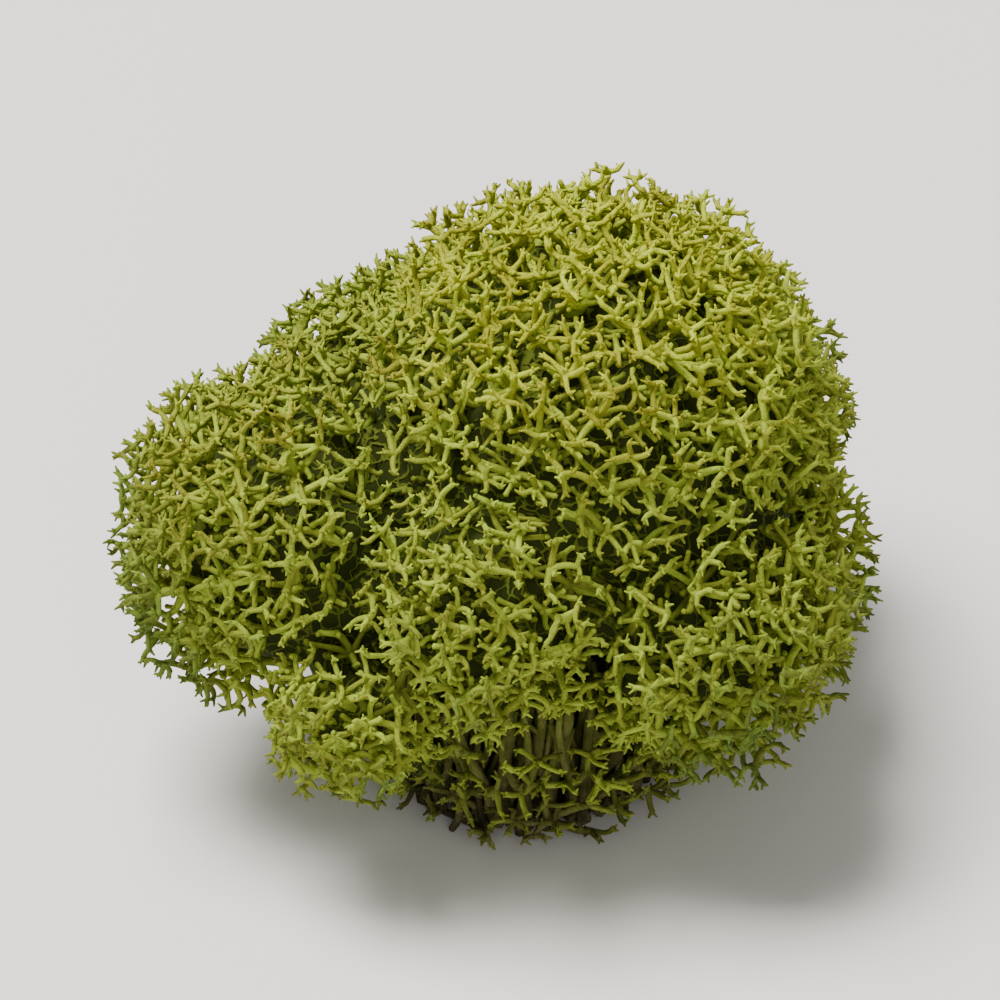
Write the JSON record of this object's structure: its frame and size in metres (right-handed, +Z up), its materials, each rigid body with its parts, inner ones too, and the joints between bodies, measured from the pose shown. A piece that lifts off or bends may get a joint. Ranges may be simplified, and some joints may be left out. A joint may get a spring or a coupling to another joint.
{
  "type": "reindeer moss clump",
  "caption": "Dyed green reindeer lichen clump: rounded cushion heads of fine forked branchlets pressed together on a tuft of old stalks with a flat cut foot.",
  "frame": {"origin": "middle of the clump's flat foot, on the surface that it rests on", "axes": "+Z up, +X to the right and +Y to the back as the picture shows the clump"},
  "size_m": [0.0418, 0.0372, 0.0346],
  "materials": {
    "dyed_lichen": "matt, dry and fine-branched",
    "old_stalk": "matt, dry and fibrous"
  },
  "bodies": {
    "root": {"crown_head": "dyed_lichen", "left_head": "dyed_lichen", "front_head": "dyed_lichen", "low_front_head": "dyed_lichen", "right_head": "dyed_lichen", "right_side_head": "dyed_lichen", "back_left_head": "dyed_lichen", "back_right_head": "dyed_lichen", "stalk_tuft": "old_stalk"}
  },
  "joints": []
}
